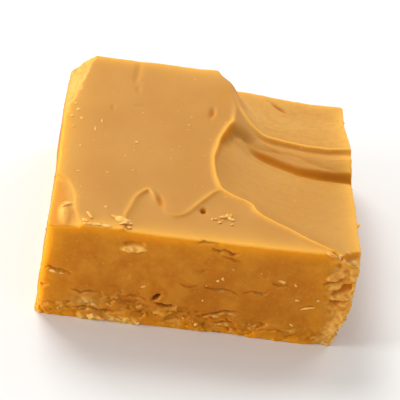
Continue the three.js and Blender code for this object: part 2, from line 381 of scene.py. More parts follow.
# Cracks in the front face: points (x, z), width and depth.
FRONT_CRACKS = [
    ([(-19.6, 7.8), (-18.9, 8.3), (-18.2, 7.9), (-17.2, 7.9), (-16.0, 7.5)], 0.11, 0.5),
    ([(-20.3, 5.3), (-19.6, 5.0), (-18.8, 5.2)], 0.14, 0.7),
    ([(-15.6, 5.0), (-14.6, 4.6), (-13.0, 4.9), (-11.8, 4.7)], 0.12, 0.5),
    ([(-9.4, 4.4), (-7.6, 4.8), (-6.2, 4.6)], 0.09, 0.4),
    ([(-5.5, 4.7), (-5.1, 5.1), (-4.7, 5.7)], 0.21, 2.6),
    ([(-5.0, 4.2), (-4.4, 3.9), (-3.6, 3.8), (-2.7, 3.95)], 0.19, 2.6),
    ([(-2.4, 7.9), (-1.4, 7.6), (-0.2, 7.8)], 0.09, 0.35),
    ([(0.6, 8.0), (2.2, 7.6), (3.6, 7.8), (5.2, 7.3)], 0.12, 0.55),
    ([(5.9, 7.6), (7.0, 8.0), (8.4, 7.8), (9.0, 8.4)], 0.10, 0.4),
    ([(9.3, 9.8), (10.4, 9.5), (11.6, 9.9)], 0.09, 0.35),
    ([(-1.2, 15.0), (0.2, 15.2), (1.8, 15.1)], 0.16, 0.6),
    ([(0.8, 14.3), (1.9, 14.0), (2.7, 14.2), (3.5, 13.8), (4.4, 14.0)], 0.13, 0.7),
    ([(2.4, 13.3), (3.6, 13.0), (4.8, 12.7)], 0.09, 0.35),
    ([(1.1, 2.8), (2.6, 3.4), (4.1, 4.1), (6.2, 4.2)], 0.13, 0.7),
    ([(2.9, 1.9), (4.2, 2.2), (5.6, 2.1)], 0.13, 0.7),
    ([(17.3, 9.1), (18.0, 9.5), (18.8, 10.1), (19.6, 10.8)], 0.34, 0.95),
    ([(16.9, 7.7), (17.8, 7.5), (18.7, 7.7), (19.7, 7.9)], 0.24, 0.85),
    ([(15.8, 10.5), (16.5, 10.9), (17.3, 11.1), (18.3, 11.8)], 0.18, 0.7),
    ([(-16.0, 1.6), (-13.6, 1.9), (-11.2, 1.5), (-9.0, 1.8)], 0.13, 0.6),
    ([(8.6, 1.4), (11.0, 1.9), (13.0, 1.5)], 0.10, 0.4),
]

# Crumbled pale patch on the front face: centre (x, z) and half-lengths.
PALE_PATCH = (-14.0, 2.9, 1.5, 1.1)

# Shallow flakes lost from the front face: centre (x, z), half-lengths, turn in degrees, and depth.
FRONT_PITS = [
    (-8.7, 13.5, 1.5, 0.50, 0, 0.60),
    (18.9, 9.9, 0.9, 0.8, 20, 0.5),
    (-14.1, 3.2, 1.1, 0.5, -20, 0.3),
    (3.6, 3.0, 1.9, 0.45, 12, 0.35),
    (14.4, 6.2, 1.1, 0.35, 14, 0.2),
]

# Scales still hanging on the front face, proud at the lower edge: centre, half-lengths, turn and height.
FRONT_SCALES = [
    (-8.85, 12.75, 1.85, 0.56, 6, 0.24),
    (17.2, 12.0, 1.35, 0.75, 28, 0.45),
    (17.3, 10.1, 0.95, 0.42, 14, 0.40),
    (18.3, 8.4, 1.40, 0.50, 6, 0.40),
    (19.6, 12.7, 0.80, 1.10, -12, 0.35),
    (19.9, 9.4, 0.60, 1.00, 8, 0.35),
]

# Broken corners: a point on each fracture, the way it faces, and how rough it is.
FRACTURES = [
    ((-16.6, 20.2, 16.1), (-0.685, 0.136, 0.716), 0.22),
    ((18.2, -20.0, 0.0), (0.925, -0.257, -0.282), 0.42),
]


def waver(along, z, phase):
    broad = np.sin(0.19 * along + 0.13 * z + phase)
    fine = np.sin(0.53 * along - 0.31 * z + 2.7 * phase) * np.cos(0.47 * z + phase)
    return WAVER * (broad + fine)


def side_shape(name, along, z):
    """How far a side stands from the middle, without its torn detail."""
    if name == "left":
        return HALF + LEFT_STAND + LEFT_FLARE * (1 - z / PLATEAU) - waver(along, z, 1)
    if name == "right":
        bulge = RIGHT_BULGE * np.sin(np.pi * np.clip(z / PLATEAU, 0, 1))
        return HALF - RIGHT_TUCK * ramp(along, 6, 16) + bulge + waver(along, z, 2)
    if name == "front":
        return HALF - waver(along, z, 3) / 2
    return HALF + waver(along, z, 4)


def cracks(lines, along, z, seed):
    """Depth of the drawn cracks, with jagged edges and a slightly raised lower lip."""
    coarse, fine = (along / 0.7, z / 0.7), (along / 0.25, z / 0.25)
    jag_a = along + 0.16 * perlin(*coarse, 0.0, seed) + 0.05 * perlin(*fine, 0, seed)
    jag_z = z + 0.16 * perlin(*coarse, 5.0, seed) + 0.05 * perlin(*fine, 5, seed)
    depth = np.zeros(along.shape)
    for points, width, deep in lines:
        near = np.abs(z - np.mean([p[1] for p in points])) < 4
        line = smooth_line(points, 4)
        distance, share = measure(line, jag_a[near], jag_z[near])
        taper = np.sqrt(np.clip(share * (1 - share) * 4, 0.05, 1))
        cut = deep * taper * np.exp(-np.abs(distance / (width * (0.5 + 0.5 * taper))) ** 2.2)
        lip = 0.10 * taper * np.exp(-((distance + 2.4 * width) / (1.6 * width)) ** 2)
        depth[near] += cut - lip
    return depth


def pits(marks, along, z, seed):
    """Flakes lost from a face, each a tilted scoop with a sharp upper edge."""
    depth = np.zeros(along.shape)
    edge = 0.35 * perlin(along / 0.6, z / 0.6, 2.0, seed)
    for centre_a, centre_z, half_a, half_z, turn, deep in marks:
        c, s = math.cos(math.radians(turn)), math.sin(math.radians(turn))
        off_a, off_z = along - centre_a, z - centre_z
        a, b = (c * off_a + s * off_z) / half_a, (c * off_z - s * off_a) / half_z
        reach = np.hypot(a, b) + edge
        depth += deep * (1 - ramp(reach, 0.7, 1.05)) * (0.55 + 0.45 * np.clip(b, -1, 1))
    return depth


def scales(marks, along, z, seed):
    """Thin scales on a face: how far they stand out, and where they are."""
    stand = np.zeros(along.shape)
    cover = np.zeros(along.shape)
    edge = 0.26 * perlin(along / 0.8, z / 0.8, 3.0, seed) + 0.16 * perlin(along / 0.3, z / 0.3, 6.0, seed)
    skin = 0.75 + 0.5 * perlin(along / 0.7, z / 0.5, 1.0, seed + 2)
    for centre_a, centre_z, half_a, half_z, turn, height in marks:
        c, s = math.cos(math.radians(turn)), math.sin(math.radians(turn))
        off_a, off_z = along - centre_a, z - centre_z
        a, b = (c * off_a + s * off_z) / half_a, (c * off_z - s * off_a) / half_z
        inside = 1 - ramp(np.hypot(a, b) + edge, 0.78, 1.05)
        stand = np.maximum(stand, height * inside * (0.6 - 0.4 * np.clip(b, -1, 1)) * skin)
        cover = np.maximum(cover, inside * np.clip(skin, 0, 1))
    return stand, cover


def tears(along, z, seed, amount):
    """Short sheet-like tears that run along a cut, denser towards the foot of the block."""
    warp = 0.5 * perlin(along / 2.2, z / 2.2, 1.5, seed + 1)
    sheet = perlin(along / 2.6, (z + warp) / 0.55, 0.3, seed)
    sheet = sheet + 0.4 * perlin(along / 0.9, z / 0.3, 0.9, seed + 3)
    patch = 0.5 + 0.5 * perlin(along / 6.0, z / 3.0, 0.7, seed + 5)
    low = 1 - ramp(z + warp, 2.5, 7.0)
    torn = ramp(sheet, 0.55, 0.75) * ramp(patch + 0.35 * low + amount, 0.62, 0.95)
    return 0.26 * torn


def plates(along, z, seed, amount):
    """Crumbly plates: each sits a little in or out, and some of the borders are open cracks."""
    warp_a = along + 0.5 * perlin(along / 1.3, z / 1.3, 0.2, seed + 1)
    warp_z = z + 0.3 * perlin(along / 1.3, z / 1.3, 4.2, seed + 1)
    gap, number = cells(warp_a / 2.3 + 40, warp_z / 0.95 + 40, seed)
    small_gap, small_number = cells(warp_a / 0.9 + 40, warp_z / 0.5 + 40, seed + 2)
    patch = 0.5 + 0.5 * perlin(along / 4.5, z / 2.2, 0.6, seed + 6)
    where = ramp(patch + 0.65 * (1 - ramp(z, 1.0, 7.0)) + amount, 0.62, 1.0)
    opened = ramp(perlin(along / 1.8, z / 0.9, 0.4, seed + 8), -0.05, 0.2)
    steps = 0.24 * number + 0.14 * small_number
    crack = 0.34 * np.exp(-(gap / 0.08) ** 2) * opened + 0.14 * np.exp(-(small_gap / 0.10) ** 2) * opened
    fleck = ramp(small_number, 0.72, 0.9) * ramp(small_gap, 0.05, 0.25)
    return (steps + crack) * where, fleck * where


def crumble(along, z, seed):
    """Coarse granular relief of a broken, crumbly patch."""
    gap, number = cells(along / 0.9 + 40 + 0.4 * perlin(along, z, 0.1, seed), z / 0.7 + 40, seed)
    lumps = np.abs(layered(along / 1.6, z / 1.2, seed * 0.7, seed, 4))
    return 0.34 * lumps + 0.22 * number * ramp(gap, 0, 0.3)


def side_detail(name, along, z, height):
    """Depth of a side's torn detail below its smooth shape, how pale it is, and its painted glow and painted
    shade there.
    """
    grain = 0.03 * layered(along / 0.9, z / 0.6, 3.3, 91, 3)
    if name == "front":
        corner = ramp(along + 0.8 * perlin(along / 1.5, z / 1.5, 0.8, 48), 15.6, 17.8) * ramp(z, 3, 7)
        rubble = crumble(along, z, 41)
        past_break = along - blend(18.0, 20.4, ramp(z, 0, 8))
        zone = 0.15 * np.exp(-((along - 2) / 6) ** 2) + 0.1 * np.exp(-((along + 13) / 4) ** 2)
        plate, pale = plates(along, z, 35, zone - 0.22 - 0.1 * ramp(along, 7, 10))
        depth = tears(along, z, 31, -0.20) + plate + 0.7 * corner * rubble + 0.25 * corner
        depth = depth + cracks(FRONT_CRACKS, along, z, 51) + pits(FRONT_PITS, along, z, 61)
        rough_rim = ramp(past_break + 0.7 * perlin(along / 1.2, z / 1.2, 0.4, 43), -2.3, -1.0)
        foot_height = z + 0.5 * perlin(along / 1.1, z, 0.2, 44)
        foot = ramp(-np.abs(along + 10.5), -4.5, -3) * (1 - ramp(foot_height, 0.5, 1.3))
        depth = depth + foot * (1.2 * crumble(along, z, 45) - 0.35) + 0.7 * rough_rim * crumble(along, z, 46)
        stand, cover = scales(FRONT_SCALES, along, z, 62)
        depth = depth - stand
        pale = np.maximum(0.8 * pale, 0.6 * corner * ramp(rubble, 0.35, 0.15))
        rim = ramp(along + 0.5 * perlin(along / 0.9, z / 0.9, 0.3, 49), 18.5, 19.5) * ramp(z, 4, 7)
        pale = np.maximum.reduce([pale, 1.25 * rim, np.where(along < 0, 1.7, 1.0) * cover])
        pale = np.maximum.reduce([pale, rough_rim, foot, 0.8 * spot(along, z, *PALE_PATCH)])
        # Painted glow: the broken corner's deep cracks and the flake's scar take the bright glow orange, as
        # if lit through the fudge.
        crack_painted_glow = ramp(along, 16.5, 18) * ramp(z, 5, 7) * ramp(depth, 0.55, 0.9)
        flake_scar = np.exp(-((along + 8.7) / 1.9) ** 4 - ((z - 13.75) / 0.65) ** 4)
        crack_painted_glow = np.maximum(crack_painted_glow, 0.8 * flake_scar * ramp(depth, 0.05, 0.3))
        # Painted shade follows the depth, held low in the broken corner and in the flake's scar.
        shown = np.where(along > 15, 0.34, blend(9.0, 0.3, np.clip(flake_scar * 1.5, 0, 1)))
        return depth + grain, pale * (1 - crack_painted_glow), crack_painted_glow, np.minimum(depth, shown)
    if name == "right":
        below = ramp(height - z, 0.6, 2.4)
        plate, pale = plates(along, z, 36, 0.25)
        depth = below * (tears(along, z, 32, 0.35) + plate + 0.8 * crumble(along, z, 42))
        pale = np.maximum(pale, 0.5 * ramp(perlin(along / 3, z / 3, 0.5, 47), 0, 0.4))
        return grain + depth, pale, np.zeros_like(depth), np.minimum(depth, 0.9)
    if name == "left":
        plate, pale = plates(along, z, 37, -0.1)
        depth = tears(along, z, 33, 0.0) + plate
    else:
        plate, pale = plates(along, z, 38, 0.1)
        depth = tears(along, z, 34, 0.2) + plate
    return grain + depth, pale, np.zeros_like(depth), depth


def press_back(points):
    """Moves what stands outside a fracture back onto its rough face, and says how broken each point is."""
    broken = np.zeros(len(points))
    for at, facing, rough in FRACTURES:
        facing = np.array(facing) / np.linalg.norm(facing)
        grain = layered(points[:, 0] / 2.0, points[:, 1] / 2.0, points[:, 2] / 1.6, 71, 4)
        outside = points @ facing - np.dot(at, facing) + rough * grain
        points = points - np.outer(np.maximum(outside, 0), facing)
        broken = np.maximum(broken, ramp(outside, 0.0, 0.3))
    return points, broken


# ---------------------------------------------------------------------------------------------------
# The block's mesh
# ---------------------------------------------------------------------------------------------------

def lattice_faces():
    """Quads over the six faces of the lattice box, as (i, j, k) corners seen anticlockwise outside."""
    n, up = CELLS_ACROSS, CELLS_UP

    def grid(first, second, corner):
        a, b = np.meshgrid(np.arange(first), np.arange(second), indexing="ij")
        a, b = a.ravel(), b.ravel()
        return [corner(a, b), corner(a + 1, b), corner(a + 1, b + 1), corner(a, b + 1)]

    def fixed(value, like):
        return np.full(like.shape, value)

    sheets = [
        grid(n, n, lambda a, b: (a, b, fixed(up, a))),
        grid(n, n, lambda a, b: (b, a, fixed(0, a))),
        grid(n, up, lambda a, b: (a, fixed(0, a), b)),
        grid(up, n, lambda a, b: (b, fixed(n, a), a)),
        grid(up, n, lambda a, b: (fixed(0, a), b, a)),
        grid(n, up, lambda a, b: (fixed(n, a), a, b)),
    ]
    quads = [np.stack([np.stack(corner, -1) for corner in sheet], 1) for sheet in sheets]
    return np.concatenate(quads)


def place(i, j, k):
    """The places of lattice points, in millimetres, and how much painted shade, paleness and painted glow
    each one carries.
    """
    across, deep, up = 2 * i / CELLS_ACROSS - 1, 2 * j / CELLS_ACROSS - 1, k / CELLS_UP
    x, y = HALF * across, HALF * deep
    # The last value is the top's paleness: the crumbled corner, plus painted light on the low ground and the
    # corner peak.
    height, glow, top_painted_shade, terrace = top_relief(x, y)
    z = height * up
    side_x = np.where(across < 0, side_shape("left", y, z), side_shape("right", y, z))
    side_y = np.where(deep < 0, side_shape("front", x, z), side_shape("back", x, z))
    torn_x, torn_y, pale_x, pale_y, glow_x, glow_y, painted_shade_x, painted_shade_y = np.zeros((8, len(x)))
    near_x, near_y = np.abs(across) > 0.93, np.abs(deep) > 0.93
    for name, chosen in (("left", near_x & (across < 0)), ("right", near_x & (across > 0))):
        detail = side_detail(name, y[chosen], z[chosen], height[chosen])
        torn_x[chosen], pale_x[chosen], glow_x[chosen], painted_shade_x[chosen] = detail
    for name, chosen in (("front", near_y & (deep < 0)), ("back", near_y & (deep > 0))):
        detail = side_detail(name, x[chosen], z[chosen], height[chosen])
        torn_y[chosen], pale_y[chosen], glow_y[chosen], painted_shade_y[chosen] = detail
    fade_x, fade_y = ramp(np.abs(across), 0.95, 1.0), ramp(np.abs(deep), 0.95, 1.0)
    out_x = np.abs(across) * side_x - torn_x * fade_x
    out_y = np.abs(deep) * side_y - torn_y * fade_y
    points = np.stack([np.sign(across) * out_x, np.sign(deep) * out_y, z], -1)
    on_x, on_y, on_top = np.abs(across) == 1, np.abs(deep) == 1, up == 1
    # Painted shade: recesses in the sides and hollows in the top, to be coloured deeper and darker.
    painted_shade = np.maximum.reduce([painted_shade_x * on_x, painted_shade_y * on_y, 0.9 * top_painted_shade * on_top])
    pale = np.maximum.reduce([pale_x * on_x, pale_y * on_y, terrace * on_top])
    glow = np.maximum.reduce([glow_x * on_x, glow_y * on_y, glow * on_top])
    return points, {"painted_shade": painted_shade, "pale": pale, "glow": glow}


def round_edges(points, i, j, k):
    """Slides the lattice points near the block's twelve edges onto arcs, and gives each a painted glow that
    fades away from the edges.
    """
    count = np.array([CELLS_ACROSS, CELLS_ACROSS, CELLS_UP])
    step = np.array([SIDE, SIDE, PLATEAU]) / count
    index = np.stack([i, j, k], -1)
    inside = np.minimum(index, count - index) * step
    inward = np.sign(count / 2 - index)
    left_front = (inward[:, 0] > 0) & (inward[:, 1] > 0)
    upper = inward[:, 2] < 0
    moved = points.copy()
    for first, second in ((0, 1), (0, 2), (1, 2)):
        if second == 1:
            radius = np.where(left_front, 1.0, 0.5)
        else:
            radius = np.where(upper, TOP_ROUND, FOOT_ROUND)
        for face, across in ((first, second), (second, first)):
            chosen = (inside[:, face] == 0) & (inside[:, across] < radius)
            share = 1 - inside[chosen, across] / radius[chosen]
            angle = share * math.pi / 4
            moved[chosen, face] += inward[chosen, face] * radius[chosen] * (1 - np.cos(angle))
            sideways = inward[chosen, across] * radius[chosen] * (share - np.sin(angle))
            moved[chosen, across] += sideways * (inside[chosen, across] > 0)
    # Painted glow: strongest on the edges, reaching further in at the front uprights.
    beside_edge = np.sort(inside, -1)[:, 1]
    glow = 1.15 * np.exp(-beside_edge / EDGE_GLOW)
    beside_upright = inside[:, 0] + inside[:, 1]
    left_edge = 1.2 * np.exp(-beside_upright / LEFT_EDGE_GLOW) * left_front
    right_edge = 1.0 * np.exp(-beside_upright / RIGHT_EDGE_GLOW) * ((inward[:, 0] < 0) & (inward[:, 1] > 0))
    return moved, np.maximum.reduce([glow, left_edge, right_edge])


def block_mesh():
    faces = lattice_faces()
    flat = faces.reshape(-1, 3)
    key = (flat[:, 0] * (CELLS_ACROSS + 1) + flat[:, 1]) * (CELLS_UP + 1) + flat[:, 2]
    _, first, back = np.unique(key, return_index=True, return_inverse=True)
    i, j, k = flat[first].T
    points, look = place(i, j, k)
    points, edge = round_edges(points, i, j, k)
    points, broken = press_back(points)
    points[k == 0, 2] = 0
    # The edges' painted glow joins the rest, dimmed where the corners broke off.
    look["glow"] = np.maximum(look["glow"], edge)
    look["glow"] = look["glow"] * (1 - 0.8 * broken)
    look["pale"] = np.maximum(look["pale"], 0.62 * broken)
    return points, back.reshape(-1, 4), look


def new_mesh_object(name, points, faces, attributes=()):
    mesh = bpy.data.meshes.new(name)
    mesh.vertices.add(len(points))
    mesh.vertices.foreach_set("co", np.asarray(points, np.float32).ravel())
    faces = np.asarray(faces, np.int32)
    mesh.loops.add(faces.size)
    mesh.loops.foreach_set("vertex_index", faces.ravel())
    mesh.polygons.add(len(faces))
    mesh.polygons.foreach_set("loop_start", np.arange(0, faces.size, faces.shape[1], dtype=np.int32))
    mesh.update(calc_edges=True)
    for label, values in attributes:
        mesh.attributes.new(label, "FLOAT", "POINT").data.foreach_set("value", values.astype(np.float32))
    mesh.validate()
    mesh.polygons.foreach_set("use_smooth", np.ones(len(mesh.polygons), bool))
    thing = bpy.data.objects.new(name, mesh)
    bpy.context.scene.collection.objects.link(thing)
    return thing


def apply_modifiers(thing):
    evaluated = thing.evaluated_get(bpy.context.evaluated_depsgraph_get())
    mesh = bpy.data.meshes.new_from_object(evaluated)
    thing.modifiers.clear()
    thing.data = mesh


low_corner, high_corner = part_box(NODE)
points, faces, look = block_mesh()
lowest, highest = points.min(0), points.max(0)
FIT = np.array(high_corner - low_corner) / (highest - lowest)


def to_frame(places):
    """Millimetres of the block's own plan to metres of the frame."""
    return (places - (lowest + highest) / 2) * FIT + np.array(high_corner + low_corner) / 2


fudge = new_mesh_object("fudge_block", to_frame(points), faces, look.items())
thin = fudge.modifiers.new("thin", "DECIMATE")
thin.ratio = FACES_KEPT / (2 * len(faces))
apply_modifiers(fudge)


# ---------------------------------------------------------------------------------------------------
# Crumbs and flakes lying on the block
# ---------------------------------------------------------------------------------------------------

# On the top: centre (x, y), then length, width and height, and turn in degrees.
TOP_CRUMBS = [
    (-11.1, -17.9, 2.2, 0.9, 0.35, -10), (-10.3, -18.3, 1.5, 0.9, 0.35, 14),
    (-12.0, -17.5, 0.9, 0.4, 0.3, -30),
    (-10.0, -19.2, 0.8, 0.4, 0.3, -20), (-10.8, -18.8, 1.0, 0.5, 0.3, 10),
    (-15.2, -17.8, 1.4, 0.35, 0.3, -52), (-15.6, -18.9, 0.8, 0.4, 0.3, -20),
    (-15.4, -19.6, 1.1, 0.4, 0.3, 0), (-14.2, -19.6, 1.3, 0.35, 0.25, 4), (-12.9, -19.6, 0.9, 0.35, 0.25, -5),
    (-18.0, -15.4, 1.2, 0.6, 0.22, 4), (-18.6, -16.0, 0.6, 0.4, 0.20, 50),
    (2.2, -14.6, 1.1, 0.5, 0.35, 20), (2.9, -14.3, 1.0, 0.45, 0.35, 60), (3.1, -14.9, 0.8, 0.4, 0.3, -20),
    (2.6, -14.1, 0.6, 0.3, 0.25, 0), (1.1, -15.2, 0.45, 0.3, 0.25, 0), (1.6, -15.9, 0.5, 0.3, 0.25, 30),
    (2.0, -15.3, 0.35, 0.25, 0.2, 0), (3.2, -16.0, 0.4, 0.3, 0.25, 15), (0.6, -15.4, 0.35, 0.25, 0.2, 80),
    (-19.1, 3.9, 0.5, 0.4, 0.12, 0), (-18.4, 5.6, 0.5, 0.4, 0.12, 0), (-17.8, 3.6, 0.4, 0.6, 0.12, 0),
    (-18.9, 7.0, 0.5, 0.3, 0.12, 0), (-15.0, 3.6, 0.26, 0.8, 0.1, 0), (-15.8, 1.5, 0.26, 0.8, 0.1, 0),
    (-18.7, 1.4, 0.4, 0.3, 0.1, 0), (-17.5, -2.8, 0.3, 0.4, 0.1, 0), (-10.0, -0.5, 0.4, 0.45, 0.14, 0),
    (-13.5, -8.1, 0.35, 0.3, 0.1, 0), (-17.4, -8.6, 0.4, 0.3, 0.1, 0), (-13.2, -15.6, 0.35, 0.3, 0.1, 0),
    (16.2, -19.6, 1.2, 0.5, 0.5, -20), (17.3, -19.2, 0.9, 0.6, 0.5, 30), (18.4, -18.3, 0.8, 0.5, 0.4, 0),
    (19.3, -18.9, 0.9, 0.6, 0.5, 50), (17.9, -19.5, 0.7, 0.5, 0.4, -30),
]

# On the front face: centre (x, z), then length, height and thickness, and turn in degrees.
FRONT_CRUMBS = [
    (14.5, 6.2, 1.9, 0.34, 0.34, 14), (13.0, 7.4, 0.7, 0.3, 0.15, 0), (12.4, 9.9, 0.4, 0.4, 0.2, 0),
    (10.6, 10.2, 0.9, 0.45, 0.12, -20), (2.9, 9.6, 0.35, 0.6, 0.15, 20), (2.3, 9.2, 0.35, 0.35, 0.15, 0),
    (15.7, 7.7, 0.4, 0.3, 0.15, 0), (21.0, 11.4, 1.5, 0.45, 0.5, 8), (20.4, 8.2, 0.9, 0.8, 0.6, 0),
    (20.3, 13.2, 0.9, 0.6, 0.5, 20),
    (-14.4, 3.3, 1.3, 0.7, 0.2, -30), (-13.4, 2.5, 1.2, 0.6, 0.2, -10), (-14.9, 2.0, 0.9, 0.5, 0.2, 10),
    (-12.6, 1.6, 1.0, 0.5, 0.2, -20), (-8.6, 0.9, 0.8, 0.35, 0.2, 0), (-10.9, 0.8, 1.1, 0.6, 0.25, -25),
    (-13.4, 0.7, 1.1, 0.7, 0.35, 10), (-12.2, 0.5, 1.2, 0.5, 0.35, -8), (-9.8, 0.5, 1.1, 0.5, 0.35, 0),
    (-7.2, 0.4, 0.8, 0.4, 0.3, 15), (0.4, 1.3, 0.5, 0.45, 0.3, 0), (-1.4, 1.9, 0.35, 0.35, 0.2, 0),
    (4.6, 3.6, 1.6, 0.55, 0.2, 10), (2.9, 3.0, 1.4, 0.5, 0.2, -8), (-7.2, 6.6, 0.8, 0.3, 0.1, 20),
    (12.9, 3.1, 0.7, 0.3, 0.15, -20), (-19.0, 7.6, 0.9, 0.5, 0.2, -10), (-17.9, 7.4, 0.8, 0.3, 0.15, 0),
]

# Seeded scatter: the side it falls on, how many, and the largest length.
SCATTER = [
    ("top", 60, 0.26), ("front", 55, 0.32), ("right", 90, 0.60), ("left", 45, 0.42), ("back", 70, 0.50),
]

FACING = {
    "top": Vector((0, 0, 1)), "front": Vector((0, -1, 0)), "right": Vector((1, 0, 0)),
    "left": Vector((-1, 0, 0)), "back": Vector((0, 1, 0)),
}


def ball(divisions):
    made = bmesh.new()
    bmesh.ops.create_icosphere(made, subdivisions=divisions, radius=1)
    points = np.array([v.co for v in made.verts])
    faces = np.array([[v.index for v in face.verts] for face in made.faces])
    made.free()
    return points, faces


def surface_at(side, a, b):
    """The block's surface and its normal where a line square to a side meets it."""
    facing = FACING[side]
    if side == "top":
        start = Vector((a, b, 0))
    elif side in ("front", "back"):
        start = Vector((a, 0, b))
    else:
        start = Vector((0, a, b))
    start = Vector(to_frame(np.array(start))) + facing * 0.05
    hit, normal, _, _ = block_tree.ray_cast(start, -facing)
    return hit, normal


def lump(shape, side, a, b, length, width, height, turn, seed, sunk=0.25):
    """One crumb: a ball cut by random planes, roughened, flattened, turned and set on the surface."""
    hit, normal = surface_at(side, a, b)
    if hit is None:
        return None
    base, _ = shape
    draw = np.random.default_rng(seed)
    cuts = draw.normal(size=(14, 3))
    cuts /= np.linalg.norm(cuts, axis=1, keepdims=True)
    reach = draw.uniform(0.5, 0.9, 14) / np.maximum(base @ cuts.T, 1e-3)
    dents = layered(*(base * 1.6 + draw.uniform(0, 50, 3)).T, 81, 3)
    size = np.minimum(reach.min(1), 1.0) * (1 + 0.18 * dents)
    points = base * size[:, None] * np.array((length, width, height)) * 0.62
    facing = FACING[side]
    along = Vector((0, 1, 0)) if side in ("left", "right") else Vector((1, 0, 0))
    normal = (normal + facing).normalized()
    along = (along - normal * along.dot(normal)).normalized()
    turned = Matrix.Rotation(math.radians(turn), 3, normal) @ along
    axes = np.array([turned, normal.cross(turned), normal])
    return np.array(hit) / MM + (points @ axes) + np.array(normal) * height * sunk


def join_lumps(name, lumps, shape):
    count = len(shape[0])
    kept = [one for one in lumps if one is not None]
    faces = np.concatenate([shape[1] + count * number for number in range(len(kept))])
    return new_mesh_object(name, np.concatenate(kept) * MM, faces)


def scattered():
    """Seeded small crumbs on every side, as lump settings."""
    draw = np.random.default_rng(5)
    for side, count, largest in SCATTER:
        for _ in range(count):
            a, b = draw.uniform(-19.3, 19.3), draw.uniform(-19.3, 19.3)
            if side == "top":
                a = a if a < 1 or draw.random() < 0.4 else -a
            else:
                b = 13 * draw.random() ** 1.6 + 0.3
            length = largest * (0.35 + 0.65 * draw.random() ** 2)
            thick = 0.3 if side in ("top", "front") else 0.6
            yield side, a, b, length, length * draw.uniform(0.5, 0.9), length * thick, draw.uniform(0, 180)


block_tree = BVHTree.FromObject(fudge, bpy.context.evaluated_depsgraph_get())
small_ball, large_ball = ball(2), ball(4)
drawn = [lump(large_ball, "top", *crumb, seed=n) for n, crumb in enumerate(TOP_CRUMBS)]
for n, crumb in enumerate(FRONT_CRUMBS):
    drawn.append(lump(large_ball, "front", *crumb, seed=100 + n, sunk=0.05))
crumbs = join_lumps("crumbs", drawn, large_ball)
tiny = [lump(small_ball, *one, seed=200 + n) for n, one in enumerate(scattered())]
specks = join_lumps("specks", tiny, small_ball)


# ---------------------------------------------------------------------------------------------------
# Material
# ---------------------------------------------------------------------------------------------------

# Linear colours of the cut faces, the spread top and what lies on them. The cut faces' deeper, more saturated
# orange is partly painted shade, and the top's paler tan partly painted sheen.
CUT_DEEP, CUT_LIGHT = (0.55, 0.175, 0.007, 1), (0.64, 0.240, 0.016, 1)
# Painted shade: a darker colour for cut faces turned to the back and to the left, against the key light that
# falls on them.
CUT_BACK_LEFT_PAINTED_SHADE = (0.40, 0.150, 0.022, 1)    # cut faces turned to the back and to the left
CUT_GRAIN = (0.80, 0.38, 0.05, 1)
TOP_DEEP, TOP_LIGHT = (0.54, 0.245, 0.043, 1), (0.57, 0.267, 0.052, 1)
SPECKLE = (0.85, 0.52, 0.18, 1)
# Painted glow: bright orange for edges, ridges and lips, as if light shone through the fudge there.
CUT_GLOW, TOP_GLOW = (0.90, 0.34, 0.005, 1), (0.92, 0.46, 0.06, 1)
PALE = (0.95, 0.52, 0.115, 1)
# Painted shade: deeper, darker orange for hollows and recesses, near black for the deepest cracks.
CUT_PAINTED_SHADE, TOP_PAINTED_SHADE = (0.50, 0.150, 0.001, 1), (0.60, 0.205, 0.001, 1)
DEEPEST_PAINTED_SHADE = (0.02, 0.004, 0.001, 1)
CRUMB_DEEP, CRUMB_LIGHT = (0.90, 0.43, 0.09, 1), (0.96, 0.58, 0.18, 1)


class Nodes:
    """Short calls for building a node tree."""

    def __init__(self, name):
        self.material = bpy.data.materials.new(name)
        self.material.use_nodes = True
        self.tree = self.material.node_tree
        self.tree.nodes.clear()

    def add(self, kind, inputs=(), **settings):
        node = self.tree.nodes.new(kind)
        for key, value in settings.items():
            setattr(node, key, value)
        for key, value in dict(inputs).items():
            if hasattr(value, "is_linked"):
                self.tree.links.new(value, node.inputs[key])
            else:
                node.inputs[key].default_value = value
        return node

    def math(self, operation, a, b=0.5, clamp=False):
        node = self.add("ShaderNodeMath", {0: a, 1: b}, operation=operation, use_clamp=clamp)
        return node.outputs[0]

    def ranged(self, value, low, high, to_low=0.0, to_high=1.0):
        node = self.add("ShaderNodeMapRange", {0: value, 1: low, 2: high, 3: to_low, 4: to_high},
                        interpolation_type="SMOOTHSTEP")
        return node.outputs[0]

    def noise(self, where, scale, detail=3.0, rough=0.5):
        inputs = {"Vector": where, "Scale": scale, "Detail": detail, "Roughness": rough}
        node = self.add("ShaderNodeTexNoise", inputs)
        return node.outputs["Fac"]

    def mix(self, share, a, b):
        node = self.add("ShaderNodeMix", {0: share, 6: a, 7: b}, data_type="RGBA")
        return node.outputs[2]


